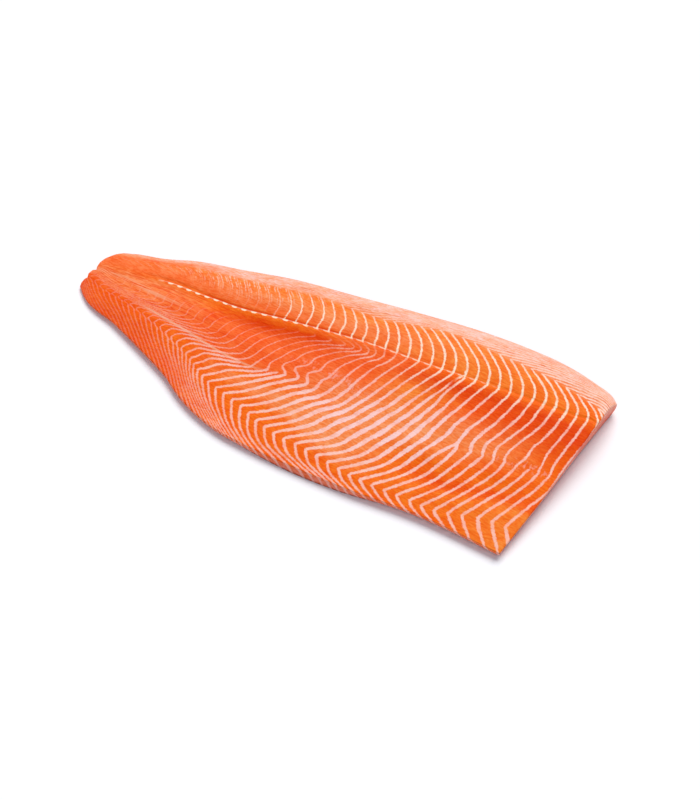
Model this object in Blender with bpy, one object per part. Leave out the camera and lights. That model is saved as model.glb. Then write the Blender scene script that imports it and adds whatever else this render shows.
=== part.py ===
"""A side of raw salmon, cut from the bone and skinned, lying flesh side up.

The fillet is one closed loft. Two edge lines in plan give its outline, and every
cross-section between them is a smooth curve. Points along the fillet are stations in
millimetres from the tail tip, and points across it are widths. The finished mesh
stands on z = 0, centred on its box: +X towards the head end, +Y towards the back.
"""

import bpy
import numpy as np

MM = 0.001
THICKNESS = 29.0

# Outline in plan: (station, width) along the belly and along the back.
BELLY_EDGE = [(0, -10), (12, -20), (65, -38), (119, -58), (146, -69), (177, -86), (224, -101),
              (262, -105), (370, -103), (433, -94), (563, -94)]
BACK_EDGE = [(0, 34), (8, 46), (23, 54), (58, 64), (90, 77), (142, 90), (196, 104), (266, 115),
             (336, 126), (404, 135), (457, 138), (493, 137), (532, 130), (553, 123), (563, 114)]

# The tail end is torn into shallow lobes: (width, station).
TAIL_END = [(-20, 9), (-14, 2), (-7, 0), (-2, 0.5), (1, 2.5), (6, 0.5), (12, 1.5), (14, 5),
            (18, 3), (25, 2), (33, 3), (42, 6), (50, 14)]

# The straight cut at the head end: (width, station) at both its ends, and its bow.
CUT_AT_BELLY = (-92.0, 535.5)
CUT_AT_BACK = (115.0, 559.5)
CUT_BOW = 2.0

# Height of the loin along the fillet, as a share of the full thickness.
LOIN_HEIGHT = [(0, 0.24), (40, 0.36), (100, 0.52), (200, 0.74), (300, 0.90), (400, 1.0),
               (480, 1.0), (560, 0.92)]

# Cross-sections from the belly edge (0) to the back edge (1), as shares of the loin's height.
TAIL_SECTION = [(0, 0.50), (0.15, 0.78), (0.35, 0.95), (0.55, 1.0), (0.75, 1.0), (0.9, 0.85),
                (1, 0.50)]
BODY_SECTION = [(0, 0.28), (0.1, 0.37), (0.3, 0.55), (0.5, 0.74), (0.7, 0.94), (0.83, 1.0),
                (0.93, 0.86), (1, 0.48)]
SECTION_CHANGE = (40.0, 240.0)

# A furrow on the belly side of the bone line: its place across, half its width, and its
# depth in millimetres along the fillet as (station, depth).
FURROW_PLACE = 0.60
FURROW_REACH = 0.12
FURROW_DEPTH = [(30, 0.0), (100, 0.9), (190, 1.6), (280, 0.9), (370, 0.0)]

# Shallow dips where the flap sags: (station, width, reach along, reach across, depth).
DIPS = [(425, -52, 60, 22, 1.2), (500, -38, 50, 22, 1.2)]

# How far the underside stays back from the edges above it.
BELLY_UNDERCUT = 3.0
BACK_UNDERCUT = 7.0
CUT_UNDERCUT = 5.0
TAIL_UNDERCUT = 1.5
UNDERCUT_REACH = 8

# Each side stands slightly proud between its top and bottom edges.
BELLY_BULGE = 0.5
BACK_BULGE = 0.8
BULGE_PLACE = 0.45

STATIONS = 84
ROWS = 31

FLESH_COLOUR = (0.95, 0.17, 0.03, 1.0)
FLESH_ROUGHNESS = 0.35


def curve(points, at):
    """Read a smooth curve through the points: a cubic Hermite with averaged slopes."""
    x, y = np.array(points, float).T
    step = np.diff(x)
    slope = np.diff(y) / step
    inner = (slope[:-1] * step[1:] + slope[1:] * step[:-1]) / (step[:-1] + step[1:])
    tangent = np.concatenate((slope[:1], inner, slope[-1:]))
    at = np.clip(at, x[0], x[-1])
    i = np.clip(np.searchsorted(x, at) - 1, 0, len(step) - 1)
    t = (at - x[i]) / step[i]
    start = (1 + 2 * t) * (1 - t) ** 2 * y[i] + t * (1 - t) ** 2 * step[i] * tangent[i]
    end = t * t * (3 - 2 * t) * y[i + 1] + t * t * (t - 1) * step[i] * tangent[i + 1]
    return start + end


def smooth_step(low, high, at):
    """Rise smoothly from 0 at low to 1 at high."""
    t = np.clip((at - low) / (high - low), 0, 1)
    return t * t * (3 - 2 * t)


def bump(distance):
    """A smooth hump: 1 at distance 0, and 0 from distance 1 on."""
    return np.clip(1 - distance ** 2, 0, None) ** 2


def width_at(station, share):
    """Width of a point at a share of the way from the belly edge to the back edge."""
    belly = curve(BELLY_EDGE, station)
    return belly + (curve(BACK_EDGE, station) - belly) * share


def height_at(station, share):
    """Height of the top surface above the underside."""
    width = width_at(station, share)
    body = smooth_step(*SECTION_CHANGE, station)
    section = curve(TAIL_SECTION, share) * (1 - body) + curve(BODY_SECTION, share) * body
    height = THICKNESS * curve(LOIN_HEIGHT, station) * section
    height = height - curve(FURROW_DEPTH, station) * bump((share - FURROW_PLACE) / FURROW_REACH)
    for at_station, at_width, along, across, depth in DIPS:
        away = np.hypot((station - at_station) / along, (width - at_width) / across)
        height = height - depth * bump(away)
    return height


def cut_station(width):
    """Station of the cut at the head end, along its top edge."""
    (low_width, low_station), (high_width, high_station) = CUT_AT_BELLY, CUT_AT_BACK
    share = (width - low_width) / (high_width - low_width)
    bow = CUT_BOW * 4 * share * (1 - share)
    return low_station + (high_station - low_station) * share + np.maximum(bow, 0.0)


def row_ends(share):
    """First and last station of each row, where it meets the tail end and the cut."""
    first, last = 0.0 * share, 0.0 * share + CUT_AT_BACK[1]
    for _ in range(12):
        first = np.interp(width_at(first, share), *zip(*TAIL_END))
        last = cut_station(width_at(last, share))
    return first, last


def top_grid():
    """Points of the top surface as [row, station] arrays, rows closer at both edges."""
    even = np.linspace(0, 1, ROWS)
    share = (even + smooth_step(0, 1, even))[:, None] / 2
    first, last = row_ends(share)
    along = np.linspace(0, 1, STATIONS)[None, :]
    station = first + (last - first) * along
    share = share + 0 * station
    return np.stack((station, width_at(station, share), height_at(station, share)), axis=-1)


def bottom_grid(top):
    """The flat underside below the top grid, kept back from the edges all round."""
    belly, back = top[0, :, 1], top[-1, :, 1]
    share = (top[:, :, 1] - belly) / (back - belly)
    low = belly + np.minimum(BELLY_UNDERCUT, top[0, :, 2])
    high = back - np.minimum(BACK_UNDERCUT, top[-1, :, 2])
    along = np.linspace(0, 1, STATIONS)[None, :]
    middle = 4 * share * (1 - share)
    bottom = top.copy()
    bottom[:, :, 0] += TAIL_UNDERCUT * (1 - along) ** UNDERCUT_REACH
    bottom[:, :, 0] -= CUT_UNDERCUT * (0.5 + 0.5 * middle) * along ** UNDERCUT_REACH
    bottom[:, :, 1] = low + (high - low) * share
    bottom[:, :, 2] = 0.0
    return bottom


def side_row(upper, lower, bulge):
    """A row part-way down a side, a little proud of both edges."""
    side = upper + (lower - upper) * BULGE_PLACE
    side[:, 1] = upper[:, 1] + bulge
    return side


def end_cap(ring):
    """Faces that close one end: quads under the top row, and a triangle at each side."""
    upper = ring[:ROWS]
    back_side = ring[ROWS]
    lower = ring[ROWS + 1:2 * ROWS + 1][::-1]
    belly_side = ring[2 * ROWS + 1]
    cap = [(upper[k], upper[k + 1], lower[k + 1], lower[k]) for k in range(ROWS - 1)]
    return cap + [(upper[-1], back_side, lower[-1]), (lower[0], belly_side, upper[0])]


def loft():
    """All points of the closed mesh, and its faces."""
    top = top_grid()
    bottom = bottom_grid(top)
    belly_side = side_row(top[0], bottom[0], -BELLY_BULGE)
    back_side = side_row(top[-1], bottom[-1], BACK_BULGE)
    rings = np.concatenate((top, back_side[None], bottom[::-1], belly_side[None]))
    index = np.arange(len(rings) * STATIONS).reshape(-1, STATIONS)
    faces = end_cap(index[:, 0]) + [face[::-1] for face in end_cap(index[:, -1])]
    for this, after in zip(index, np.roll(index, -1, axis=0)):
        for k in range(STATIONS - 1):
            faces.append((this[k], this[k + 1], after[k + 1], after[k]))
    return rings.reshape(-1, 3), faces


def flesh_material():
    material = bpy.data.materials.new("salmon_flesh")
    material.use_nodes = True
    shader = material.node_tree.nodes["Principled BSDF"]
    shader.inputs["Base Color"].default_value = FLESH_COLOUR
    shader.inputs["Roughness"].default_value = FLESH_ROUGHNESS
    shader.inputs["Metallic"].default_value = 0.0
    return material


def build_fillet():
    points, faces = loft()
    low, high = points.min(axis=0), points.max(axis=0)
    stand = np.array([(low[0] + high[0]) / 2, (low[1] + high[1]) / 2, low[2]])
    mesh = bpy.data.meshes.new("salmon_fillet")
    mesh.from_pydata(((points - stand) * MM).tolist(), [], [tuple(map(int, f)) for f in faces])
    mesh.shade_smooth()
    mesh.materials.append(flesh_material())
    fillet = bpy.data.objects.new("salmon_fillet", mesh)
    bpy.context.scene.collection.objects.link(fillet)


for old in list(bpy.data.objects):
    bpy.data.objects.remove(old, do_unlink=True)
build_fillet()
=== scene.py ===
"""The looks of a raw side of salmon: one finely meshed fillet with its connective tissue.

Lengths are in millimetres until the mesh is made. Points along the fillet are stations
from the tail tip, points across it are widths, as in the construction of the solid.
Rows run along the fillet at fixed places across it: 0 is the belly edge, 1 the fold of
the belly flap, 2 the rib ridge, 3 the bone line, 4 the fold along the back and 5 the
back edge.
"""

import math

import bpy
import numpy as np
from mathutils import Euler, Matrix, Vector, noise


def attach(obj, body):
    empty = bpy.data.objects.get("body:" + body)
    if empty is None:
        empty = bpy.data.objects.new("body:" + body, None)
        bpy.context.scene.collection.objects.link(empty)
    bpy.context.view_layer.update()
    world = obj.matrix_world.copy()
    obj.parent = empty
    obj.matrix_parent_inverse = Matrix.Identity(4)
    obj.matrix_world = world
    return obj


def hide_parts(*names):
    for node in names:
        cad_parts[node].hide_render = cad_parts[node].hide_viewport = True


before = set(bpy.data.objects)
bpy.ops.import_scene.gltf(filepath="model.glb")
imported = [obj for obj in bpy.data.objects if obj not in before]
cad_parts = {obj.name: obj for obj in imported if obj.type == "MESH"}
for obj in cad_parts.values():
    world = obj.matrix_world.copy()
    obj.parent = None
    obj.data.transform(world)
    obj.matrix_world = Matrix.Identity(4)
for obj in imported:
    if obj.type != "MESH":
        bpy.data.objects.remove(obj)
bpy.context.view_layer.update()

MM = 0.001
THICKNESS = 29.0

# The middle of the solid's box, in stations and widths.
BOX_MIDDLE = (279.9, 15.95)

# Outline in plan, as in the solid: (station, width).
BELLY_EDGE = [(0, -10), (12, -20), (65, -38), (119, -58), (146, -69), (177, -86), (224, -101),
              (262, -105), (370, -103), (433, -94), (563, -94)]
BACK_EDGE = [(0, 34), (8, 46), (23, 54), (58, 64), (90, 77), (142, 90), (196, 104), (266, 115),
             (336, 126), (404, 135), (457, 138), (493, 137), (532, 130), (553, 123), (563, 114)]
TAIL_END = [(-20, 9), (-14, 2), (-7, 0), (-2, 0.5), (1, 2.5), (6, 0.5), (12, 1.5), (14, 5),
            (18, 3), (25, 2), (33, 3), (42, 6), (50, 14)]
CUT_AT_BELLY = (-92.0, 535.5)
CUT_AT_BACK = (115.0, 559.5)
CUT_BOW = 2.0

# Heights, as in the solid.
LOIN_HEIGHT = [(0, 0.24), (40, 0.36), (100, 0.52), (200, 0.74), (300, 0.90), (400, 1.0),
               (480, 1.0), (560, 0.92)]
TAIL_SECTION = [(0, 0.50), (0.15, 0.78), (0.35, 0.95), (0.55, 1.0), (0.75, 1.0), (0.9, 0.85),
                (1, 0.50)]
BODY_SECTION = [(0, 0.28), (0.1, 0.37), (0.3, 0.55), (0.5, 0.74), (0.7, 0.94), (0.83, 1.0),
                (0.93, 0.86), (1, 0.48)]
SECTION_CHANGE = (40.0, 240.0)
FURROW_PLACE = 0.60
FURROW_REACH = 0.12
FURROW_DEPTH = [(30, 0.0), (100, 0.9), (190, 1.6), (280, 0.9), (370, 0.0)]
DIPS = [(425, -52, 60, 22, 1.2), (500, -38, 50, 22, 1.2)]

# Undercuts and bulges of the sides, as in the solid.
BELLY_UNDERCUT = 3.0
BACK_UNDERCUT = 7.0
CUT_UNDERCUT = 5.0
TAIL_UNDERCUT = 1.5
UNDERCUT_REACH = 8
BELLY_BULGE = 0.5
BACK_BULGE = 0.8

# The belly's cut face leans outwards around one station: (station, reach, lean). Its top edge
# draws in by the lean, over a strip of the flesh side, and its bottom edge comes out by so many
# times the lean.
BELLY_FACE = (330, 105, 3.0)
LEAN_STRIP = 16
LEAN_BELOW = 1.8

# Guide lines across the fillet, as shares from the belly edge (0) to the back edge (1).
BELLY_FOLD = [(0, 0.26), (40, 0.26), (100, 0.22), (180, 0.18), (235, 0.17), (275, 0.125),
              (320, 0.11), (370, 0.075), (420, 0.05), (465, 0.05), (500, 0.10), (535, 0.13)]
RIB_RIDGE = [(0, 0.45), (45, 0.34), (130, 0.33), (185, 0.36), (225, 0.38), (262, 0.42), (300, 0.39),
             (340, 0.34), (400, 0.33), (470, 0.37), (521, 0.41), (560, 0.44)]
BONE_LINE = [(0, 0.68), (110, 0.64), (150, 0.64), (220, 0.68), (300, 0.70), (400, 0.68),
             (470, 0.69), (520, 0.72), (560, 0.78)]
BACK_FOLD = [(0, 0.83), (60, 0.87), (200, 0.88), (240, 0.89), (300, 0.86), (380, 0.89),
             (440, 0.86), (500, 0.85), (560, 0.85)]
GUIDES = [[(0, 0), (560, 0)], BELLY_FOLD, RIB_RIDGE, BONE_LINE, BACK_FOLD, [(0, 1), (560, 1)]]

# A pale stripe along the tail end: (station, width).
TAIL_STRIPE = [(0, 16), (40, 17), (70, 14), (100, 12), (130, 15), (160, 21)]

# Where each sheet of connective tissue crosses a row: place -> (number, station). The sheets
# of the belly side, the middle and the loin are numbered apart, as some end at a seam.
FOLD_CROSSINGS = [(-16, -44), (-8, 26), (0, 98), (5, 141), (10, 181), (15, 236), (20, 294),
                  (25, 358), (28, 395), (30, 422), (34, 473), (38, 528), (42, 580)]
FLAP_SHEETS = {
    0.0: [(-16, 16), (-8, 86), (0, 162), (5, 210), (8, 232), (11, 246), (15, 275), (20, 336),
          (25, 382), (30, 437), (34, 489), (38, 548), (42, 600)],
    0.5: [(-16, -14), (-8, 57), (0, 130), (5, 172), (8, 190), (10, 203), (15, 248), (20, 307),
          (25, 367), (30, 428), (34, 479), (38, 537), (42, 590)],
    1.0: FOLD_CROSSINGS,
}
RIB_SHEETS = {
    1.0: FOLD_CROSSINGS,
    1.4: [(-16, -38), (-8, 32), (0, 103), (5, 148), (10, 195), (15, 260), (20, 321), (25, 383),
          (30, 444), (34, 491), (38, 537), (42, 585)],
    1.75: [(-16, -34), (-8, 36), (0, 107), (5, 155), (8, 183), (10, 208), (12, 238), (15, 277),
           (20, 332), (25, 394), (30, 456), (34, 504), (38, 546), (42, 588)],
    2.0: [(-16, -20), (-8, 50), (0, 121), (5, 173), (8, 210), (10, 238), (12, 260), (14, 284),
          (16, 305), (20, 342), (24, 391), (26, 416), (27, 427), (28, 442), (29, 449), (30, 463),
          (32, 486), (34, 508), (36, 530), (38, 548), (42, 590)],
}
MIDDLE_SHEETS = {
    2.0: [(-24, -70), (-3, 134), (0, 184), (2, 220), (4, 258), (8, 305), (12, 342), (16, 391),
          (18, 416), (19, 427), (20, 446), (21, 461), (23, 484), (25, 507), (26, 529), (28, 548),
          (32, 590)],
    2.15: [(-24, -50), (-3, 165), (0, 203), (3, 236), (6, 276), (8, 308), (12, 348), (16, 395),
           (18, 418), (20, 447), (22, 471), (24, 495), (26, 528), (28, 549), (32, 591)],
    2.3: [(-24, -40), (-3, 176), (0, 207), (3, 242), (6, 285), (8, 311), (10, 333), (12, 355),
          (14, 378), (16, 400), (18, 421), (20, 449), (22, 475), (24, 498), (26, 528),
          (28, 550), (32, 592)],
    2.5: [(-24, -40), (-3, 179), (0, 212), (3, 249), (6, 288), (8, 314), (10, 339), (12, 362),
          (14, 385), (16, 406), (18, 427), (20, 455), (22, 481), (24, 504), (26, 530),
          (28, 552), (32, 595)],
    2.75: [(-24, -40), (-3, 188), (0, 226), (3, 270), (6, 304), (8, 323), (10, 347), (12, 371),
           (14, 395), (15, 405), (16, 410), (17, 421), (18, 434), (20, 461), (22, 487), (24, 510),
           (26, 533), (28, 555), (32, 597)],
    2.9: [(-24, -36), (-3, 202), (0, 243), (3, 294), (5, 311), (8, 334), (10, 353), (12, 377),
          (14, 401), (15, 410), (16, 415), (17, 426), (20, 464), (24, 511), (28, 556), (32, 599)],
    3.0: [(-24, -48), (-13, 87), (-1, 220), (11, 369), (14, 405), (15, 414), (16, 419), (17, 430),
          (20, 466), (24, 512), (28, 557), (32, 600)],
}
BACK_CROSSINGS = [(-24, -70), (-12, 66), (0, 202), (6, 275), (10, 322), (13, 349), (16, 380),
                  (20, 435), (24, 484), (28, 537), (32, 585)]
LOIN_SHEETS = {
    3.0: [(-24, -48), (-12, 87), (0, 220), (10, 344), (13, 382), (16, 418), (20, 466), (24, 512),
          (28, 557), (32, 600)],
    3.5: [(-24, -50), (-12, 84), (0, 218), (6, 291), (12, 361), (16, 410), (20, 458), (24, 508),
          (28, 553), (32, 597)],
    3.8: [(-24, -61), (-12, 74), (0, 209), (6, 283), (10, 329), (13, 359), (16, 393), (20, 445),
          (24, 495), (28, 545), (32, 592)],
    4.0: BACK_CROSSINGS,
}
BACK_SHEETS = {
    4.0: BACK_CROSSINGS,
    4.4: [(-24, -40), (-12, 100), (0, 242), (6, 317), (10, 365), (13, 395), (16, 428), (20, 484),
          (24, 533), (28, 586), (32, 634)],
    5.0: [(-24, 20), (-12, 162), (0, 312), (6, 392), (10, 443), (13, 474), (16, 510), (20, 568),
          (24, 618), (28, 674), (32, 724)],
}
SHEET_NUMBERS = (-30, 50)

# Fields of places with numbers of their own: name, first place, last place. The tables of
# the two outer fields change at the folds.
FIELDS = [("belly", 0, 2), ("middle", 2, 3), ("loin", 3, 5)]
FIELD_TABLES = {
    "belly": (FLAP_SHEETS, 1, RIB_SHEETS),
    "middle": (MIDDLE_SHEETS, 3, MIDDLE_SHEETS),
    "loin": (LOIN_SHEETS, 4, BACK_SHEETS),
}

# What is kept for each point of the mesh: its position, and its paint for the material. The
# gaps and offsets are in mm, and an offset is far where its line doesn't show.
SURFACE = ("station", "width", "height")
SHEETS = [name + "_sheet" for name, _, _ in FIELDS]
GAPS = [name + "_gap" for name, _, _ in FIELDS]
OFFSETS = ["bone_offset", "ridge_offset", "stripe_offset"]
PAINTED = ["place", "station", *SHEETS, *GAPS, *OFFSETS, "half_width", "strength", "fray", "thin",
           "flesh", "tissue"]
WIDEST_GAP = 50.0
FAR = 99.0

# Paint that is the same all over the underside.
UNDER_PAINT = {
    "half_width": 0.5,
    "strength": 0.45,
    "fray": 0.0,
    "thin": 0.0,
    **dict.fromkeys(GAPS, 7.0),
    **dict.fromkeys(OFFSETS, FAR),
}

# Half the width of the pale lines, in mm: place -> (station, half width).
LINE_HALF_WIDTH = {
    0.0: [(0, 0.5), (100, 0.6), (200, 0.8), (300, 0.9), (400, 0.9), (540, 1.0)],
    0.6: [(0, 0.5), (100, 0.6), (200, 1.0), (300, 1.15), (400, 1.2), (480, 1.6), (540, 1.9)],
    1.2: [(0, 0.5), (120, 0.7), (200, 1.3), (300, 1.75), (380, 1.6), (450, 1.25), (540, 1.4)],
    1.8: [(0, 0.5), (120, 0.7), (200, 1.3), (300, 2.4), (380, 2.4), (450, 1.5), (540, 1.15)],
    2.2: [(150, 0.5), (250, 0.7), (330, 1.8), (400, 2.4), (450, 1.8), (500, 1.05), (540, 1.0)],
    2.7: [(200, 0.4), (300, 0.6), (360, 1.0), (430, 1.2), (540, 1.1)],
    3.0: [(0, 0.4), (220, 0.6), (300, 0.9), (400, 1.0), (540, 1.2)],
    3.5: [(0, 0.4), (200, 0.5), (240, 0.85), (400, 0.95), (540, 1.0)],
    4.0: [(0, 0.35), (200, 0.4), (300, 0.8), (540, 0.9)],
    4.3: [(0, 0.4), (300, 0.6), (540, 0.7)],
    5.0: [(0, 0.4)],
}

# How strongly the pale lines show: place -> (station, strength).
LINE_STRENGTH = {
    0.0: [(0, 0.12), (150, 0.25), (250, 0.7), (540, 0.85)],
    0.4: [(0, 0.15), (150, 0.28), (230, 0.75), (540, 0.85)],
    1.2: [(0, 0.2), (80, 0.32), (140, 0.6), (200, 0.9), (400, 1.0), (470, 0.85)],
    1.9: [(0, 0.2), (100, 0.35), (150, 0.7), (200, 0.9), (300, 1.0), (440, 1.0), (500, 0.85)],
    2.05: [(0, 0.1), (80, 0.3), (180, 0.5), (290, 0.7), (340, 0.95), (540, 1.0)],
    2.25: [(0, 0.0), (80, 0.3), (190, 0.5), (300, 0.6), (340, 0.9), (540, 1.0)],
    2.6: [(0, 0.0), (90, 0.15), (200, 0.4), (290, 0.5), (330, 0.7), (400, 0.95), (540, 0.85)],
    2.85: [(210, 0.0), (270, 0.3), (340, 0.75), (400, 0.95), (540, 0.9)],
    2.92: [(270, 0.0), (320, 0.3), (350, 0.7), (400, 0.95)],
    3.0: [(0, 0.0), (310, 0.05), (350, 0.3), (390, 0.9), (540, 1.0)],
    3.06: [(200, 0.0), (222, 0.9), (250, 1.0)],
    3.6: [(0, 0.0), (100, 0.05), (150, 0.15), (205, 0.4), (222, 0.95), (300, 1.0)],
    3.85: [(0, 0.1), (110, 0.35), (200, 0.6), (230, 0.9), (540, 1.0)],
    4.0: [(0, 0.05), (150, 0.2), (250, 0.45), (400, 0.75), (540, 0.9)],
    4.15: [(0, 0.0), (200, 0.1), (320, 0.35), (430, 0.65), (540, 0.85)],
    4.6: [(0, 0.0), (240, 0.1), (320, 0.3), (440, 0.5), (540, 0.7)],
    5.0: [(0, 0.0), (400, 0.1), (540, 0.3)],
}

# Points of the mesh: stations along it, rows between one place and the next, levels of the
# sides as shares of their depth, and the coarser grid of the underside, set in by a few points.
STATIONS = 430
BAND_ROWS = (24, 44, 50, 28, 24)
WALL_LEVELS = (0.07, 0.2, 0.38, 0.56, 0.74, 0.9, 1.0)
UNDER_STATIONS = 140
UNDER_ROWS = 40
UNDER_INSET = 4
ROW_END_PASSES = 12

# The corners of the sheets are rounded by this share of each row's bend, over and over.
SOFTEN_SHARE = 0.25
SOFTEN_PASSES = 160

# Long lumps are drawn out along the fillet.
LUMP_SQUEEZE = (0.5, 1, 1)

# Small heights on the flesh side, in mm: the swelling between the sheets, long and fine lumps
# as (height, size), and a groove beside the bone line as (depth, offset, reach).
SWELLING = 0.22
LONG_LUMPS = (0.35, 16)
FINE_LUMPS = (0.15, 6)
BONE_GROOVE = (0.5, 2.8, 2.8)

# On the sides the sheets lean by so many sheets for each mm of depth, and have a spacing in mm,
# a factor for the width of their lines and a fading: one value for the sides, one for the cut.
WALL_SLOPE = (-0.08, 0.09)
WALL_GAP = (11, 7)
WALL_WIDENING = (1.7, 0.55)
WALL_FADING = (0.0, 0.35)
DEPTH_FADING = 0.2

# The sides draw in slowly at first and faster further down, by this power of the depth.
WALL_CURVE = 1.8

# The underside swells a little, in mm, in lumps of this size. Its sheets run in a zigzag of
# (share, shift), in mm, under a brown stripe and silvery patches of these strengths.
UNDER_SWELL = 0.25
UNDER_LUMP_SIZE = 22
UNDER_ZIGZAG = [(0, 0), (0.18, 16), (0.36, -8), (0.50, 8), (0.64, -8), (0.82, 16), (1, 0)]
UNDER_PITCH = 9.0
UNDER_STRIPE = 0.7
SILVER_STRENGTH = 0.55
SILVER_SQUEEZE = (0.4, 1, 1)
SILVER_SIZE = 35

# Bands of the texture sheet, as (start, height), and the margin at its sides.
WALL_BAND = (0.01, 0.04)
UNDER_BAND = (0.07, 0.33)
TOP_BAND = (0.42, 0.57)
UV_MARGIN = 0.01

# Noise is read along slanting axes, so that its own grid doesn't show.
SLANT = np.array(Euler((0.6, 0.4, 0.9)).to_matrix())


def srgb(red, green, blue):
    """A colour given in 0-255 sRGB values, as linear light."""
    channels = np.array([red, green, blue]) / 255
    return np.where(channels <= 0.04045, channels / 12.92, ((channels + 0.055) / 1.055) ** 2.4)


# Oranges of the flesh, then its pale and dark tones, some of them painted light and shade.
ORANGE = srgb(248, 102, 14)
BRIGHT = srgb(248, 112, 22)
APRICOT = srgb(250, 144, 80)
AMBER = srgb(249, 126, 40)
SALMON = srgb(248, 98, 36)
DEEP = srgb(230, 64, 0)
DARK = srgb(238, 78, 2)
REDDISH = srgb(246, 88, 16)
MELON = srgb(249, 112, 50)
SOFT = srgb(249, 124, 62)
PEACH = srgb(240, 168, 132)
DARK_PEACH = srgb(236, 156, 112)
CORAL = srgb(255, 128, 88)
# Painted light and shade: a lit coral for the top of the cut face, a shaded brick for its lower
# part, and a shade red for the foot of the sides.
LIT_CORAL = srgb(255, 134, 102)
SHADED_BRICK = srgb(232, 96, 56)
SHADE_RED = srgb(150, 40, 18)
PINK = srgb(252, 206, 202)
ROSE = srgb(252, 198, 183)
CREAM = srgb(255, 228, 200)
SILVER = srgb(226, 196, 184)
BROWN = srgb(150, 88, 62)

# Colour of the flesh between the lines, with painted sheen and shade in places: place -> (station,
# colour).
FLESH = {
    0.0: [(150, REDDISH), (220, ORANGE), (470, ORANGE), (530, AMBER)],
    1.0: [(0, REDDISH), (150, ORANGE), (470, BRIGHT), (530, AMBER)],
    # Rows 1.25 to 2.1: the apricot from about station 280 to 420 is painted sheen on the wet
    # mid-belly.
    1.25: [(0, REDDISH), (150, ORANGE), (290, BRIGHT), (340, APRICOT), (390, BRIGHT), (480, BRIGHT),
           (530, AMBER)],
    # Row 1.42: the dark orange from station 430 to 500 follows the dips and is painted shade.
    1.42: [(0, SALMON), (150, ORANGE), (290, APRICOT), (350, APRICOT), (395, BRIGHT), (430, DARK),
           (500, DARK), (540, REDDISH)],
    1.58: [(0, SALMON), (150, ORANGE), (280, APRICOT), (350, APRICOT), (400, BRIGHT),
           (540, ORANGE)],
    1.7: [(0, SALMON), (150, ORANGE), (250, BRIGHT), (330, APRICOT), (410, BRIGHT), (470, ORANGE)],
    2.1: [(0, SOFT), (60, MELON), (150, SALMON), (260, SALMON), (340, APRICOT), (420, APRICOT),
          (540, ORANGE)],
    2.6: [(70, SOFT), (150, SALMON), (330, SALMON), (380, AMBER), (440, REDDISH), (540, DEEP)],
    # Row 2.85: the deep orange from station 190 to 260 is painted shade in the furrow below the
    # bone line.
    2.85: [(90, SOFT), (150, ORANGE), (190, DEEP), (260, DEEP), (310, SALMON), (350, SALMON),
           (400, DEEP)],
    3.0: [(0, MELON), (120, BRIGHT), (250, BRIGHT), (340, SALMON), (400, ORANGE)],
    3.2: [(280, MELON), (420, AMBER), (540, BRIGHT)],
    3.5: [(0, MELON), (180, SOFT), (250, APRICOT), (330, SOFT), (420, AMBER), (540, BRIGHT)],
    3.9: [(0, MELON), (200, AMBER), (420, AMBER), (540, BRIGHT)],
    # Rows 4.25 to 5.0: the peach along the back edge is partly its pale fat and partly painted
    # sheen on the slope.
    4.25: [(0, MELON), (80, SOFT), (160, PEACH), (440, PEACH), (540, DARK_PEACH)],
    4.7: [(0, AMBER), (80, PEACH), (440, PEACH), (540, DARK_PEACH)],
    5.0: [(0, PEACH)],
}

# Where the tissue frays into short pale wisps: (place, station, reach across, reach along).
FRAYS = [(2.33, 300, 0.14, 70), (2.02, 515, 0.12, 50)]

# Where thin sheets show between the others on the loin, in the same terms, and how strongly.
THIN_SHEETS = (3.85, 160, 0.6, 120)
THIN_STRENGTH = 0.55

# Where a sheet fades out short of the bone line, in the same terms.
SHEET_END = (2.9, 410.5, 0.17, 4.2)

# Colour of the lines: place -> (station, colour).
TISSUE = {
    1.2: [(0, ROSE)],
    # Rows 1.8 and 2.2: the paler pink from about station 320 to 430 is partly the wide fat of the
    # lines and partly painted sheen.
    1.8: [(250, ROSE), (320, PINK), (400, PINK), (480, ROSE)],
    2.2: [(250, ROSE), (340, PINK), (430, PINK), (500, ROSE)],
    2.7: [(0, ROSE)],
    3.1: [(0, CREAM)],
    5.0: [(0, PINK)],
}

# Factors on the flesh colour, from the dark to the light parts of the soft mottling, of the
# fine grain and of the long streaks.
MOTTLE = ((0.97, 0.84, 0.7, 1.0), (1.0, 1.12, 1.35, 1.0))
GRAIN = ((0.95, 0.74, 0.5, 1.0), (1.02, 1.22, 1.6, 1.0))
STREAKS = ((0.92, 0.56, 0.40, 1.0), (1.01, 1.1, 1.14, 1.0))

# The wet gloss, which takes on the colour of the flesh.
GLOSS = 0.09
GLOSS_TINT = (1.0, 0.5, 0.16, 1.0)

# The pale lines are at most this share of the gap wide to each side, and blur over so many mm
# at their edges. The lines and the grain stand up by this height at the most, in mm.
WIDEST_LINE = 0.26
LINE_BLUR = 0.6
BUMP_HEIGHT = 0.3

SKY_COLOUR = (0.78, 0.84, 1.0, 1.0)
FLOOR_COLOUR = (0.97, 0.97, 0.98)
FLOOR_REACH = 6.0

# The photograph's view: degrees round from the belly side and above the table, metres away,
# and the station in the middle of the picture.
VIEW_AZIMUTH = 29.7
VIEW_ELEVATION = 52
VIEW_DISTANCE = 1.6
VIEW_STATION = 323
LENS = 72
SENSOR_WIDTH = 36


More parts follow.
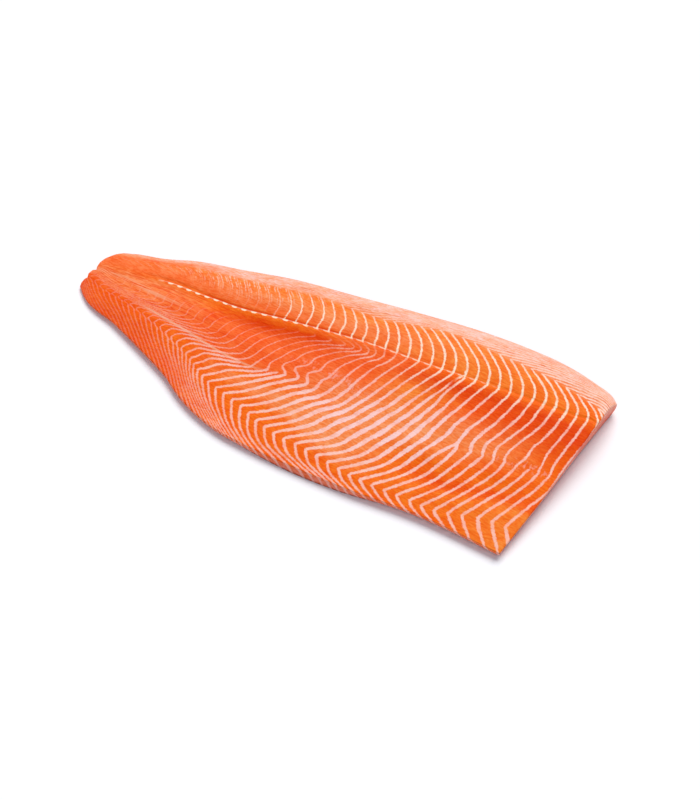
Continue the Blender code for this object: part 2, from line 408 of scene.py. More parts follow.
def curve(points, at):
    """Read a smooth curve through the points: a cubic Hermite with averaged slopes."""
    x, y = np.array(points, float).T
    step = np.diff(x)
    slope = np.diff(y) / step
    inner = (slope[:-1] * step[1:] + slope[1:] * step[:-1]) / (step[:-1] + step[1:])
    tangent = np.concatenate((slope[:1], inner, slope[-1:]))
    at = np.clip(at, x[0], x[-1])
    i = np.clip(np.searchsorted(x, at) - 1, 0, len(step) - 1)
    t = (at - x[i]) / step[i]
    start = (1 + 2 * t) * (1 - t) ** 2 * y[i] + t * (1 - t) ** 2 * step[i] * tangent[i]
    end = t * t * (3 - 2 * t) * y[i + 1] + t * t * (t - 1) * step[i] * tangent[i + 1]
    return start + end


def smooth_step(low, high, at):
    """Rise smoothly from 0 at low to 1 at high."""
    t = np.clip((at - low) / (high - low), 0, 1)
    return t * t * (3 - 2 * t)


def bump(distance):
    """A smooth hump: 1 at distance 0, and 0 from distance 1 on."""
    return np.clip(1 - distance ** 2, 0, None) ** 2


def between(first, second, part):
    """A value part of the way from the first to the second."""
    return first + (second - first) * part


def hill(at, middle, reach):
    """A smooth hump of half-width reach around the middle."""
    return bump((at - middle) / reach)


def width_at(station, share):
    """Width of a point at a share of the way from the belly edge to the back edge."""
    belly = curve(BELLY_EDGE, station)
    return between(belly, curve(BACK_EDGE, station), share)


def height_at(station, share):
    """Height of the smooth top surface above the underside, as in the solid."""
    width = width_at(station, share)
    body = smooth_step(*SECTION_CHANGE, station)
    section = curve(TAIL_SECTION, share) * (1 - body) + curve(BODY_SECTION, share) * body
    height = THICKNESS * curve(LOIN_HEIGHT, station) * section
    height = height - curve(FURROW_DEPTH, station) * hill(share, FURROW_PLACE, FURROW_REACH)
    for at_station, at_width, along, across, depth in DIPS:
        away = np.hypot((station - at_station) / along, (width - at_width) / across)
        height = height - depth * bump(away)
    return height


def cut_station(width):
    """Station of the cut at the head end, along its top edge."""
    (low_width, low_station), (high_width, high_station) = CUT_AT_BELLY, CUT_AT_BACK
    share = (width - low_width) / (high_width - low_width)
    bow = CUT_BOW * 4 * share * (1 - share)
    return between(low_station, high_station, share) + np.maximum(bow, 0.0)


def between_rows(values, low, part):
    """For each point, a value part of the way from its row below to the next."""
    under = np.take_along_axis(values, low[None], axis=0)[0]
    over = np.take_along_axis(values, low[None] + 1, axis=0)[0]
    return between(under, over, part)


def share_at(place, station):
    """Share of the width at a place, between the two guide lines beside it."""
    guides = np.stack([curve(guide, station) for guide in GUIDES])
    low = np.clip(np.floor(place).astype(int), 0, len(GUIDES) - 2)
    return between_rows(guides, low, place - low)


def row_ends(place):
    """First and last station of each row, where it meets the tail end and the cut."""
    first, last = 0.0 * place, 0.0 * place + CUT_AT_BACK[1]
    for _ in range(ROW_END_PASSES):
        first = np.interp(width_at(first, share_at(place, first)), *zip(*TAIL_END))
        last = cut_station(width_at(last, share_at(place, last)))
    return first, last


def run_on(points, numbers):
    """Read a row's crossings, carried on past both ends at the spacing found there."""
    (n0, x0), (n1, x1) = points[0], points[1]
    (m0, y0), (m1, y1) = points[-2], points[-1]
    before = np.minimum(numbers - n0, 0) * (x1 - x0) / (n1 - n0)
    after = np.maximum(numbers - m1, 0) * (y1 - y0) / (m1 - m0)
    return curve(points, numbers) + before + after


def sheet_number(sheets, place, station):
    """Running number of the sheets of tissue, on rows that keep one place each."""
    numbers = np.arange(*SHEET_NUMBERS, 0.5)
    rows = sorted(sheets)
    crossings = np.stack([run_on(sheets[row], numbers) for row in rows], axis=1)
    places = np.clip(place[:, 0], rows[0], rows[-1])
    lines = np.stack([curve(list(zip(rows, crossing)), places) for crossing in crossings])
    lines = np.maximum.accumulate(lines, axis=0)
    return np.stack([np.interp(s, line, numbers) for s, line in zip(station, lines.T)])


def field_number(name, place, station):
    """Sheet numbers of one field, read on all rows."""
    before, fold, after = FIELD_TABLES[name]
    lower = sheet_number(before, place, station)
    return np.where(place < fold, lower, sheet_number(after, place, station))


def soften(number, place, station):
    """Round the corners of the sheets: most on the belly fold near the tail."""
    ridge = hill(place, 2, 0.5) * smooth_step(430, 400, station) * smooth_step(270, 310, station)
    tail = smooth_step(1.1, 1.3, place) * smooth_step(2, 1.8, place)
    tail = tail * smooth_step(320, 240, station)
    fold = hill(place, 1, 0.7) * (0.015 + 0.985 * smooth_step(195, 115, station))
    loin = 0.12 * hill(place, 3.5, 0.45) + 0.03 * hill(place, 3, 0.3)
    crest = 0.04 * hill(place, 2, 0.4)
    amount = SOFTEN_SHARE * np.maximum.reduce([0.25 * ridge, 0.25 * tail, fold, loin, crest])
    for _ in range(SOFTEN_PASSES):
        bend = number[2:] - 2 * number[1:-1] + number[:-2]
        number[1:-1] += amount[1:-1] * bend
    return number


def sheet_numbers(place, station):
    """Numbers of each field's sheets, run on over its neighbours by whole numbers."""
    own = {name: field_number(name, place, station) for name, _, _ in FIELDS}
    result = {}
    for k, (name, low, high) in enumerate(FIELDS):
        number = own[name].copy()
        if k > 0:
            before = own[FIELDS[k - 1][0]]
            seam = np.argmin(np.abs(place[:, 0] - low))
            number = np.where(place < low, before - np.round(before[seam] - number[seam]), number)
        if k < len(FIELDS) - 1:
            after = own[FIELDS[k + 1][0]]
            seam = np.argmin(np.abs(place[:, 0] - high))
            number = np.where(place > high, after - np.round(after[seam] - number[seam]), number)
        result[name] = soften(number, place, station)
    return result


def near(place, station, spot):
    """A smooth hump over a spot, given as place, station and its reach across and along."""
    at_place, at_station, across, along = spot
    return bump(np.hypot((place - at_place) / across, (station - at_station) / along))


def belly_lean(station):
    """How far the belly's cut face leans outwards under its top edge."""
    middle, reach, lean = BELLY_FACE
    return lean * hill(station, middle, reach)


def spacing(number, station, width):
    """Distance between neighbouring sheets, in mm, measured across them on the surface."""
    n_row, n_col = np.gradient(number)
    s_row, s_col = np.gradient(station)
    w_row, w_col = np.gradient(width)
    area = s_col * w_row - s_row * w_col
    per_station = (n_col * w_row - n_row * w_col) / area
    per_width = (n_row * s_col - n_col * s_row) / area
    return 1 / np.maximum(np.hypot(per_station, per_width), 1 / WIDEST_GAP)


def by_rows(table, place, station):
    """Read a table of place -> (station, value), straight between its entries."""
    rows = sorted(table)
    values = [np.array([np.atleast_1d(value) for _, value in table[row]]) for row in rows]
    places = np.clip(place, rows[0], rows[-1])
    low = np.clip(np.searchsorted(rows, places, side="right") - 1, 0, len(rows) - 2)
    part = (places - np.take(rows, low)) / (np.take(rows, low + 1) - np.take(rows, low))
    channels = []
    for channel in range(values[0].shape[1]):
        lines = np.stack([
            np.interp(station, [at for at, _ in table[row]], value[:, channel])
            for row, value in zip(rows, values)
        ])
        channels.append(between_rows(lines, low, part))
    return np.stack(channels, axis=-1) if len(channels) > 1 else channels[0]


def wander(points, size):
    """Smooth noise from -1 to 1 over the points, with lumps of about the size in mm."""
    flat = points.reshape(-1, 3) / size @ SLANT
    values = [noise.noise(Vector(point)) for point in flat.tolist()]
    return np.array(values).reshape(points.shape[:-1])


def top_places():
    """The place of each row, as a column: even steps between one guide line and the next."""
    steps = [np.arange(rows) / rows + band for band, rows in enumerate(BAND_ROWS)]
    return np.append(np.concatenate(steps), float(len(BAND_ROWS)))[:, None]


def top_surface():
    """The flesh side as [row, station] arrays, by name."""
    place = top_places()
    first, last = row_ends(place)
    along = np.linspace(0, 1, STATIONS)[None, :]
    station = first + (last - first) * along
    place = place + 0 * station
    share = share_at(place, station)
    width = width_at(station, share)
    inward = width - curve(BELLY_EDGE, station)
    width = width + belly_lean(station) * smooth_step(LEAN_STRIP, 0, inward)
    top = {"place": place, "station": station, "share": share, "width": width}
    top["along"] = along + 0 * station
    for name, number in sheet_numbers(place, station).items():
        top[name + "_sheet"] = number
        top[name + "_gap"] = spacing(number, station, width)
    top["half_width"] = by_rows(LINE_HALF_WIDTH, place, station)
    top["strength"] = by_rows(LINE_STRENGTH, place, station) * (1 - near(place, station, SHEET_END))
    # The flesh colour, with its painted sheen and shade in places.
    top["flesh"] = by_rows(FLESH, place, station)
    top["tissue"] = by_rows(TISSUE, place, station)
    top["fray"] = np.maximum.reduce([near(place, station, fray) for fray in FRAYS])
    top["thin"] = near(place, station, THIN_SHEETS)
    top["bone_offset"] = width - width_at(station, curve(BONE_LINE, station))
    top["ridge_offset"] = width - width_at(station, curve(RIB_RIDGE, station))
    top["stripe_offset"] = width - curve(TAIL_STRIPE, station)
    top["height"] = height_at(station, share) + relief(top)
    return top


def relief(top):
    """Small heights on the flesh: segments that swell between the sheets, and soft lumps."""
    away = 0 * top["place"]
    for name, low, _ in FIELDS:
        here = np.abs((top[name + "_sheet"] + 0.5) % 1 - 0.5) * top[name + "_gap"]
        away = np.where(top["place"] >= low, here, away)
    flat = np.stack((top["station"], top["width"], 0 * away), axis=-1)
    swelling = SWELLING * top["strength"] * (smooth_step(0, 4, away) - 0.6)
    (long_height, long_size), (fine_height, fine_size) = LONG_LUMPS, FINE_LUMPS
    lumps = long_height * wander(flat * LUMP_SQUEEZE, long_size)
    lumps = lumps + fine_height * wander(flat, fine_size)
    depth, offset, reach = BONE_GROOVE
    groove = depth * hill(top["bone_offset"], offset, reach) * smooth_step(40, 90, top["station"])
    inside = np.minimum(top["share"], 1 - top["share"]) * (top["width"][-1] - top["width"][0])
    return (swelling + lumps - groove) * smooth_step(0, 8, inside)


def under_surface(top):
    """Points of the flat underside, one below each point of the flesh side."""
    belly, back = top["width"][0], top["width"][-1]
    across = (top["width"] - belly) / (back - belly)
    low = belly + BELLY_UNDERCUT - LEAN_BELOW * belly_lean(top["station"][0])
    high = back - BACK_UNDERCUT
    middle = 4 * across * (1 - across)
    along = top["along"]
    station = top["station"] + TAIL_UNDERCUT * (1 - along) ** UNDERCUT_REACH
    station = station - CUT_UNDERCUT * (0.5 + 0.5 * middle) * along ** UNDERCUT_REACH
    return np.stack((station, between(low, high, across), 0 * station), axis=-1)


def ring_of(row_count, column_count):
    """Rows, columns and running places of a grid's edge points, anticlockwise from above."""
    row_last, column_last = row_count - 1, column_count - 1
    belly = [(0, c, c / column_last) for c in range(column_last)]
    cut = [(r, column_last, 1 + r / row_last) for r in range(row_last)]
    back = [(row_last, c, 3 - c / column_last) for c in range(column_last, 0, -1)]
    tail = [(r, 0, 4 - r / row_last) for r in range(row_last, 0, -1)]
    return [np.array(values) for values in zip(*(belly + cut + back + tail))]


def zip_loops(outer, outer_at, inner, inner_at):
    """Triangles, seen from below, that join two closed loops of points of unequal number."""
    faces = []
    i, j = 0, 0
    outer_at = np.append(outer_at, 4.0)
    inner_at = np.append(inner_at, 4.0 + inner_at[0])
    while i < len(outer) or j < len(inner):
        o, n = outer[i % len(outer)], inner[j % len(inner)]
        if j == len(inner) or (i < len(outer) and outer_at[i + 1] <= inner_at[j + 1]):
            i += 1
            faces.append((o, n, outer[i % len(outer)]))
        else:
            j += 1
            faces.append((o, n, inner[j % len(inner)]))
    return faces


def grid_faces(index):
    """Quads between neighbouring points of a grid of indices, facing up."""
    corners = index[:-1, :-1], index[:-1, 1:], index[1:, 1:], index[1:, :-1]
    return np.stack([corner.ravel() for corner in corners], axis=-1)


def side_wall(top, under):
    """Points and paint of the sides, level by level below the flesh side's edge."""
    rows, columns, at = ring_of(len(top["along"]), STATIONS)
    upper = np.stack([top[name][rows, columns] for name in SURFACE], axis=-1)
    lower = under[rows, columns]
    onward = np.roll(upper, -1, axis=0) - np.roll(upper, 1, axis=0)
    out = np.stack((onward[:, 1], -onward[:, 0]), axis=-1)
    out = out / np.linalg.norm(out, axis=1, keepdims=True)
    # The running place is 1 to 2 along the cut and 2 to 3 along the back.
    cut = bump(np.clip(np.abs(at - 1.5) - 0.48, 0, None) / 0.03)
    back = smooth_step(1.97, 2.03, at) * smooth_step(3.03, 2.97, at)
    bulge = between(BELLY_BULGE, BACK_BULGE, back) * (1 - cut)
    edge = {name: top[name][rows, columns] for name in PAINTED}
    levels = []
    for level in WALL_LEVELS:
        point = between(upper, lower, level)
        point[:, :2] = between(upper, lower, level ** WALL_CURVE)[:, :2]
        point[:, :2] += out * (bulge * 4 * level * (1 - level))[:, None]
        depth = upper[:, 2] - point[:, 2]
        paint = dict(edge, fray=0 * depth, thin=0 * depth)
        for name in SHEETS:
            paint[name] = edge[name] + depth * between(*WALL_SLOPE, cut)
        for name in GAPS:
            paint[name] = between(edge[name], between(*WALL_GAP, cut), min(1.0, 3 * level))
        for name in OFFSETS:
            paint[name] = edge[name] + FAR * np.sign(edge[name]) * (level > 0.1)
        paint["half_width"] = edge["half_width"] * between(*WALL_WIDENING, cut)
        fading = (1 - between(*WALL_FADING, cut)) * (1 - DEPTH_FADING * level)
        paint["strength"] = edge["strength"] * fading
        # Painted shade: the sides darken from coral to a dark red towards their foot, under the
        # overhanging edge. The cut face is painted light at its top and shade towards its bottom.
        side = between(CORAL, SHADE_RED, smooth_step(0.6, 1.1, level))
        lit_shaded_cut_face = between(LIT_CORAL, SHADED_BRICK, smooth_step(0.1, 0.9, level))
        colour = between(side, lit_shaded_cut_face, cut[:, None])
        paint["flesh"] = between(edge["flesh"], colour, min(1.0, 0.5 + level))
        levels.append((point, paint))
    return levels


def underside(top, under):
    """Points and paint of the underside, on a coarser grid inside the side wall."""
    rows = np.linspace(UNDER_INSET, len(under) - 1 - UNDER_INSET, UNDER_ROWS).astype(int)
    columns = np.linspace(UNDER_INSET, STATIONS - 1 - UNDER_INSET, UNDER_STATIONS).astype(int)
    pick = np.ix_(rows, columns)
    point = under[pick].copy()
    station = point[..., 0]
    share = top["share"][pick]
    inside = smooth_step(0, 0.06, share) * smooth_step(1, 0.94, share)
    lumps = wander(point * LUMP_SQUEEZE, UNDER_LUMP_SIZE)
    point[..., 2] = UNDER_SWELL * inside * (1 + lumps)
    paint = {name: top[name][pick] for name in PAINTED}
    for name, value in UNDER_PAINT.items():
        paint[name] = value + 0 * station
    # The streaks follow the place, so it goes on across the underside.
    paint["place"] = 5.0 + 3.0 * share
    zigzag = np.interp(share, *zip(*UNDER_ZIGZAG))
    for name in SHEETS:
        paint[name] = (station + zigzag) / UNDER_PITCH
    silver = smooth_step(-0.3, 0.5, wander(point * SILVER_SQUEEZE, SILVER_SIZE))[..., None]
    flesh = between(CORAL, SILVER, SILVER_STRENGTH * silver)
    stripe = hill(share, 0.5, 0.16)[..., None]
    paint["flesh"] = between(flesh, BROWN, UNDER_STRIPE * stripe)
    paint["tissue"] = SILVER + 0 * flesh
    return rows, columns, point, paint


def loop_places(rows, columns, row_count):
    """Running places of an inner grid's edge points, in the outer grid's measure."""
    c = columns / (STATIONS - 1)
    r = rows / (row_count - 1)
    parts = (c[:-1], 1 + r[:-1], 3 - c[:0:-1], 4 - r[:0:-1])
    return np.concatenate(parts)


def uv_band(band, along, across):
    """Texture places in a band of the texture sheet, from shares along and across it."""
    start, height = band
    return np.stack((UV_MARGIN + (1 - 2 * UV_MARGIN) * along, start + height * across), axis=-1)


def joined(paints, name):
    """One kind of paint of all the parts, as a list of numbers or of colours."""
    parts = []
    for paint in paints:
        channels = paint[name].shape[paint["place"].ndim:]
        parts.append(paint[name].reshape(-1, *channels))
    return np.concatenate(parts)


def fillet_mesh():
    """The closed mesh of the fillet: its points, faces, paint and texture places."""
    top = top_surface()
    under = under_surface(top)
    along = top["along"]
    row_count = len(along)
    index = np.arange(along.size).reshape(along.shape)
    row_share = np.linspace(0, 1, row_count)[:, None] + 0 * along
    points = [np.stack([top[name] for name in SURFACE], axis=-1).reshape(-1, 3)]
    paints = [{name: top[name] for name in PAINTED}]
    faces = [grid_faces(index)]
    uv = [uv_band(TOP_BAND, along, row_share)]
    rows, columns, at = ring_of(row_count, STATIONS)
    ring = index[rows, columns]
    count = index.size
    for level, (point, paint) in zip(WALL_LEVELS, side_wall(top, under)):
        lower = np.arange(count, count + len(ring))
        count += len(ring)
        faces.append(np.stack((ring, lower, np.roll(lower, -1), np.roll(ring, -1)), axis=-1))
        points.append(point)
        paints.append(paint)
        uv.append(uv_band(WALL_BAND, at / 4, level + 0 * at))
        ring = lower
    under_rows, under_columns, point, paint = underside(top, under)
    inner = np.arange(count, count + point[..., 0].size).reshape(point.shape[:-1])
    points.append(point.reshape(-1, 3))
    paints.append(paint)
    faces.append(grid_faces(inner)[:, ::-1])
    u, v = np.meshgrid(under_columns / STATIONS, under_rows / row_count)
    uv.append(uv_band(UNDER_BAND, u, v))
    inner_rows, inner_columns, _ = ring_of(UNDER_ROWS, UNDER_STATIONS)
    inner_at = loop_places(under_rows, under_columns, row_count)
    stitches = zip_loops(ring, at, inner[inner_rows, inner_columns], inner_at)
    paint = {name: joined(paints, name) for name in PAINTED}
    uv = np.concatenate([part.reshape(-1, 2) for part in uv])
    return np.concatenate(points), np.concatenate(faces).tolist() + stitches, paint, uv


def build_fillet():
    """The fillet as one object, with its paint kept as attributes of its points."""
    points, faces, paint, uv = fillet_mesh()
    mesh = bpy.data.meshes.new("salmon_side")
    mesh.from_pydata(((points - [*BOX_MIDDLE, 0.0]) * MM).tolist(), [], faces)
    mesh.shade_smooth()
    for name, values in paint.items():
        if values.ndim == 2:
            layer = mesh.attributes.new(name, "FLOAT_COLOR", "POINT")
            rgba = np.concatenate((values, np.ones((len(values), 1))), axis=1)
            layer.data.foreach_set("color", rgba.ravel())
        else:
            layer = mesh.attributes.new(name, "FLOAT", "POINT")
            layer.data.foreach_set("value", values.ravel())
    corners = np.zeros(len(mesh.loops), dtype=int)
    mesh.loops.foreach_get("vertex_index", corners)
    layer = mesh.uv_layers.new(name="OFBake")
    layer.data.foreach_set("uv", uv[corners].ravel())
    mesh.materials.append(flesh_material())
    fillet = bpy.data.objects.new("salmon_side", mesh)
    bpy.context.scene.collection.objects.link(fillet)
    return fillet


class Shader:
    """Short names for the nodes that a material is made of."""

    def __init__(self, name):
        self.material = bpy.data.materials.new(name)
        self.material.use_nodes = True
        self.tree = self.material.node_tree
        self.surface = self.tree.nodes["Principled BSDF"]

    def wire(self, value, socket):
        """Link an output to a socket, or set the socket to a constant."""
        if isinstance(value, bpy.types.NodeSocket):
            self.tree.links.new(value, socket)
        else:
            socket.default_value = value

    def math(self, operation, *values):
        """The result of one operation on outputs or constants."""
        node = self.tree.nodes.new("ShaderNodeMath")
        node.operation = operation
        for value, socket in zip(values, node.inputs):
            self.wire(value, socket)
        return node.outputs[0]

    def times(self, *values):
        """The product of all the values."""
        product = values[0]
        for value in values[1:]:
            product = self.math("MULTIPLY", product, value)
        return product

    def off_half(self, number):
        """How far the fraction of a number is from a half."""
        return self.math("ABSOLUTE", self.math("SUBTRACT", self.math("FRACT", number), 0.5))

    def number(self, name, output="Fac"):
        """A number painted on the mesh."""
        node = self.tree.nodes.new("ShaderNodeAttribute")
        node.attribute_name = name
        return node.outputs[output]

    def colour(self, name):
        """A colour painted on the mesh."""
        return self.number(name, "Color")

    def range(self, value, low, high, to_low=0.0, to_high=1.0):
        """Map a value smoothly from one range to another."""
        node = self.tree.nodes.new("ShaderNodeMapRange")
        node.interpolation_type = "SMOOTHSTEP"
        for item, socket in zip((value, low, high, to_low, to_high), node.inputs):
            self.wire(item, socket)
        return node.outputs[0]

    def noise_at(self, vector, detail):
        """Noise from 0 to 1 with lumps of about one unit of the vector."""
        node = self.tree.nodes.new("ShaderNodeTexNoise")
        node.inputs["Scale"].default_value = 1.0
        node.inputs["Detail"].default_value = detail
        self.tree.links.new(vector, node.inputs["Vector"])
        return node.outputs["Fac"]

    def noise(self, size, stretch=(1, 1, 1), detail=2.0):
        """Noise from 0 to 1 with lumps of about the size in mm, stretched along each axis."""
        place = self.tree.nodes.new("ShaderNodeTexCoord")
        mapping = self.tree.nodes.new("ShaderNodeMapping")
        mapping.inputs["Scale"].default_value = [1 / (size * MM * axis) for axis in stretch]
        self.tree.links.new(place.outputs["Object"], mapping.inputs["Vector"])
        return self.noise_at(mapping.outputs[0], detail)

    def streaks(self):
        """Noise from 0 to 1 drawn out along the guide lines of the fillet."""
        vector = self.tree.nodes.new("ShaderNodeCombineXYZ")
        self.wire(self.times(self.number("place"), 20.0), vector.inputs[0])
        self.wire(self.times(self.number("station"), 0.03), vector.inputs[1])
        return self.noise_at(vector.outputs[0], 3.0)

    def blend(self, part, first, second):
        """A number between two, by a part from 0 to 1."""
        node = self.tree.nodes.new("ShaderNodeMix")
        for value, socket in zip((part, first, second), (node.inputs[0], *node.inputs[2:4])):
            self.wire(value, socket)
        return node.outputs[0]

    def mix(self, part, first, second, blend="MIX"):
        """A colour between two, by a part from 0 to 1."""
        node = self.tree.nodes.new("ShaderNodeMix")
        node.data_type = "RGBA"
        node.blend_type = blend
        for value, socket in zip((part, first, second), (node.inputs[0], *node.inputs[6:8])):
            self.wire((*value, 1.0) if isinstance(value, np.ndarray) else value, socket)
        return node.outputs[2]

    def bumps(self, height, distance):
        """Give the surface fine bumps of a height in mm."""
        node = self.tree.nodes.new("ShaderNodeBump")
        node.inputs["Distance"].default_value = distance * MM
        self.wire(height, node.inputs["Height"])
        self.tree.links.new(node.outputs[0], self.surface.inputs["Normal"])


def sheet_lines(shader, wobble):
    """How much a point lies on a pale line of the sheets, from 0 to 1."""
    uneven = shader.range(shader.noise(11), 0.3, 0.7, 0.85, 1.15)
    ragged = shader.range(shader.noise(1.8), 0.35, 0.65, -0.3, 0.3)
    lines = None
    for name, low, _ in FIELDS:
        gap = shader.number(name + "_gap")
        number = shader.math("ADD", shader.number(name + "_sheet"), wobble)
        away = shader.times(shader.off_half(shader.math("ADD", number, 0.5)), gap)
        widest = shader.times(gap, WIDEST_LINE)
        half = shader.math("MINIMUM", shader.number("half_width"), widest)
        half = shader.math("MULTIPLY_ADD", half, uneven, ragged)
        outer = shader.math("ADD", half, LINE_BLUR)
        own = shader.range(away, outer, shader.math("SUBTRACT", half, LINE_BLUR))
        if lines is None:
            lines = own
        else:
            here = shader.math("GREATER_THAN", shader.number("place"), float(low))
            lines = shader.blend(here, lines, own)
    return lines


def thin_lines(shader, wobble):
    """Fine broken lines at half the spacing of the loin's sheets, from 0 to 1."""
    number = shader.math("ADD", shader.number("loin_sheet"), shader.times(wobble, 2.0))
    half_gap = shader.times(shader.number("loin_gap"), 0.5)
    away = shader.times(shader.off_half(shader.times(number, 2.0)), half_gap)
    broken = shader.range(shader.noise(5, detail=3.0), 0.4, 0.6)
    return shader.times(shader.range(away, 1.1, 0.2), broken)


def bone_marks(shader):
    """The row of small white wedges where the pin bones were, and the painted shade of the slot
    above them.
    """
    number = shader.number("loin_sheet")
    # One wedge to a sheet, whose place between the sheets shifts along the row.
    shift = shader.range(number, 0.0, 5.0, 0.25, 0.7)
    along = shader.math("FRACT", shader.math("ADD", number, shift))
    rise = shader.range(number, -10.0, -6.0, 0.2, 2.0)
    offset = shader.math("SUBTRACT", shader.number("bone_offset"), rise)
    height = shader.times(shader.range(along, 0.0, 0.35), shader.range(along, 0.75, 0.45))
    below = shader.times(shader.range(height, 0.0, 1.0, 0.3, 1.6),
                         shader.range(number, 0.0, 4.0, 1.0, 0.7))
    wedge = shader.times(
        shader.range(offset, shader.times(below, -1.2), shader.times(below, -0.7)),
        shader.range(offset, 1.0, 0.4),
        shader.range(height, 0.0, 0.5, 0.4, 1.0),
    )
    # Painted shade: a strip of deep orange along the slot above the wedges.
    slot_shade = shader.times(shader.range(offset, -1.2, 0.2), shader.range(offset, 4.0, 1.6))
    # Both fade out towards the tail and towards the head, the slot's painted shade first.
    wedge = shader.times(
        wedge,
        shader.range(number, -13.6, -11.5),
        shader.range(number, 0.2, 4.0, 1.0, 0.6),
        shader.range(number, 20.0, 15.0),
    )
    slot_shade = shader.times(slot_shade, shader.range(number, -10.0, -7.0), shader.range(number, 9.0, 4.0))
    return wedge, slot_shade


def pale_bands(shader):
    """The membrane along the rib ridge and the stripe of the tail end, from 0 to 1."""
    station = shader.number("station")
    ridge = shader.times(
        shader.range(shader.math("ABSOLUTE", shader.number("ridge_offset")), 1.7, 0.5),
        shader.range(station, 70.0, 95.0),
        shader.range(station, 250.0, 205.0),
    )
    stripe = shader.times(
        shader.range(shader.math("ABSOLUTE", shader.number("stripe_offset")), 4.5, 1.0),
        shader.range(station, 170.0, 60.0),
        shader.range(shader.streaks(), 0.42, 0.58),
    )
    return shader.math("MAXIMUM", shader.times(ridge, 0.75), shader.times(stripe, 0.6))


def flesh_colour(shader, grain):
    """The flesh between the lines: its painted colour, mottled, grained and streaked."""
    mottle = shader.range(shader.noise(14, (1.4, 1, 1), 4.0), 0.3, 0.7)
    flesh = shader.mix(1.0, shader.colour("flesh"), shader.mix(mottle, *MOTTLE), "MULTIPLY")
    flesh = shader.mix(1.0, flesh, shader.mix(grain, *GRAIN), "MULTIPLY")
    place = shader.number("place")
    back = shader.range(place, 4.0, 4.25)
    tail = shader.times(
        shader.range(shader.number("station"), 230.0, 120.0),
        shader.range(place, 1.8, 2.0),
        shader.range(place, 3.2, 2.9),
    )
    streaks = shader.mix(shader.range(shader.streaks(), 0.34, 0.54), *STREAKS)
    streaked = shader.mix(1.0, flesh, streaks, "MULTIPLY")
    return shader.mix(shader.math("MAXIMUM", back, tail), flesh, streaked)


def flesh_material():
    """Wet raw flesh with pale sheets of connective tissue, fibres and soft mottling."""
    shader = Shader("salmon_flesh")
    slow = shader.math("SUBTRACT", shader.noise(26), 0.5)
    quick = shader.math("SUBTRACT", shader.noise(4, (2, 1, 1), 4.0), 0.5)
    wobble = shader.math("ADD", shader.times(slow, 0.25), shader.times(quick, 0.14))
    patchy = shader.range(shader.noise(9, detail=3.0), 0.3, 0.6, 0.7, 1.0)
    lines = shader.times(sheet_lines(shader, wobble), shader.number("strength"), patchy)
    wisps = shader.range(shader.noise(3.0, (1, 2, 1)), 0.52, 0.66, 0.0, 0.4)
    lines = shader.math("MAXIMUM", lines, shader.times(shader.number("fray"), wisps))
    thin = shader.times(shader.number("thin"), thin_lines(shader, wobble), THIN_STRENGTH)
    lines = shader.math("MAXIMUM", lines, thin)
    grain = shader.range(shader.noise(1.6, (3.5, 1, 1), 3.0), 0.3, 0.7)
    wedge, slot_shade = bone_marks(shader)
    # The slot's painted shade darkens the flesh to deep orange.
    flesh = shader.mix(shader.times(slot_shade, 0.85), flesh_colour(shader, grain), DEEP)
    flesh = shader.mix(pale_bands(shader), flesh, PEACH)
    painted = shader.mix(lines, flesh, shader.colour("tissue"))
    painted = shader.mix(shader.times(wedge, 0.95), painted, CREAM)
    surface = shader.surface.inputs
    shader.wire(painted, surface["Base Color"])
    shader.wire(shader.range(shader.noise(9), 0.3, 0.7, 0.30, 0.45), surface["Roughness"])
    surface["Specular IOR Level"].default_value = GLOSS
    surface["Specular Tint"].default_value = GLOSS_TINT
    height = shader.math("ADD", shader.times(lines, 0.35), shader.times(grain, 0.45))
    shader.bumps(height, BUMP_HEIGHT)
    return shader.material


def plain_material(name, colour, roughness):
    """An even material."""
    shader = Shader(name)
    shader.surface.inputs["Base Color"].default_value = (*colour, 1.0)
    shader.surface.inputs["Roughness"].default_value = roughness
    return shader.material


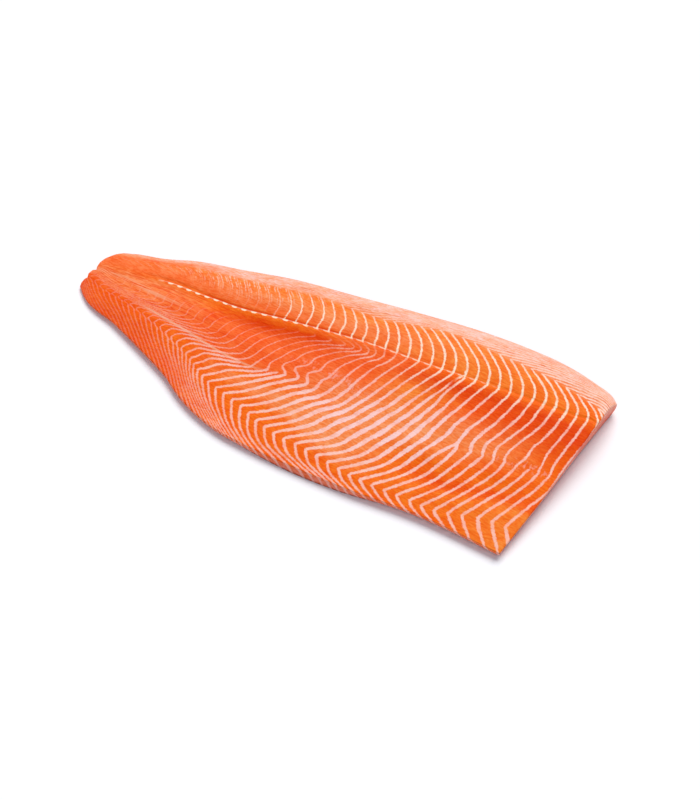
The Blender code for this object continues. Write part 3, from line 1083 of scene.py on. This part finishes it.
def build_floor():
    """A wide, pale, plain floor."""
    mesh = bpy.data.meshes.new("floor")
    corners = [(-1, -1, 0), (1, -1, 0), (1, 1, 0), (-1, 1, 0)]
    mesh.from_pydata([Vector(corner) * FLOOR_REACH for corner in corners], [], [(0, 1, 2, 3)])
    mesh.materials.append(plain_material("pale_floor", FLOOR_COLOUR, 0.9))
    floor = bpy.data.objects.new("floor", mesh)
    bpy.context.scene.collection.objects.link(floor)


def aim(thing, place, target):
    """Put a thing at a place, looking at the target."""
    thing.location = place
    thing.rotation_euler = (Vector(target) - Vector(place)).to_track_quat("-Z", "Y").to_euler()


def build_camera():
    """A camera at the photograph's view of the fillet."""
    camera = bpy.data.objects.new("camera", bpy.data.cameras.new("camera"))
    camera.data.lens = LENS
    camera.data.sensor_width = SENSOR_WIDTH
    azimuth, elevation = math.radians(VIEW_AZIMUTH), math.radians(VIEW_ELEVATION)
    target = Vector((VIEW_STATION - BOX_MIDDLE[0], -BOX_MIDDLE[1], 0)) * MM
    back = Vector((math.sin(azimuth) * math.cos(elevation),
                   -math.cos(azimuth) * math.cos(elevation), math.sin(elevation)))
    aim(camera, target + back * VIEW_DISTANCE, target)
    bpy.context.scene.collection.objects.link(camera)
    bpy.context.scene.camera = camera


def build_sun(name, place, strength, spread, colour):
    """A soft light that falls evenly over the table, from the direction of a place."""
    data = bpy.data.lights.new(name, "SUN")
    data.energy = strength
    data.angle = math.radians(spread)
    data.color = colour
    light = bpy.data.objects.new(name, data)
    aim(light, place, (0, 0, 0))
    bpy.context.scene.collection.objects.link(light)


def build_world(strength):
    """Pale, faintly blue light from all round."""
    world = bpy.data.worlds.new("studio")
    world.use_nodes = True
    background = world.node_tree.nodes["Background"]
    background.inputs["Color"].default_value = SKY_COLOUR
    background.inputs["Strength"].default_value = strength
    bpy.context.scene.world = world


bpy.context.scene.view_settings.view_transform = "Standard"
fillet = build_fillet()
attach(fillet, "root")
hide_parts("salmon_fillet")
build_floor()
build_camera()
build_world(strength=0.37)
build_sun("key", place=(-0.15, 0.88, 1.05), strength=2.94, spread=44, colour=(1.0, 0.985, 0.955))
build_sun("fill", place=(0.1, -0.9, 0.6), strength=0.34, spread=60, colour=(0.95, 0.97, 1.0))
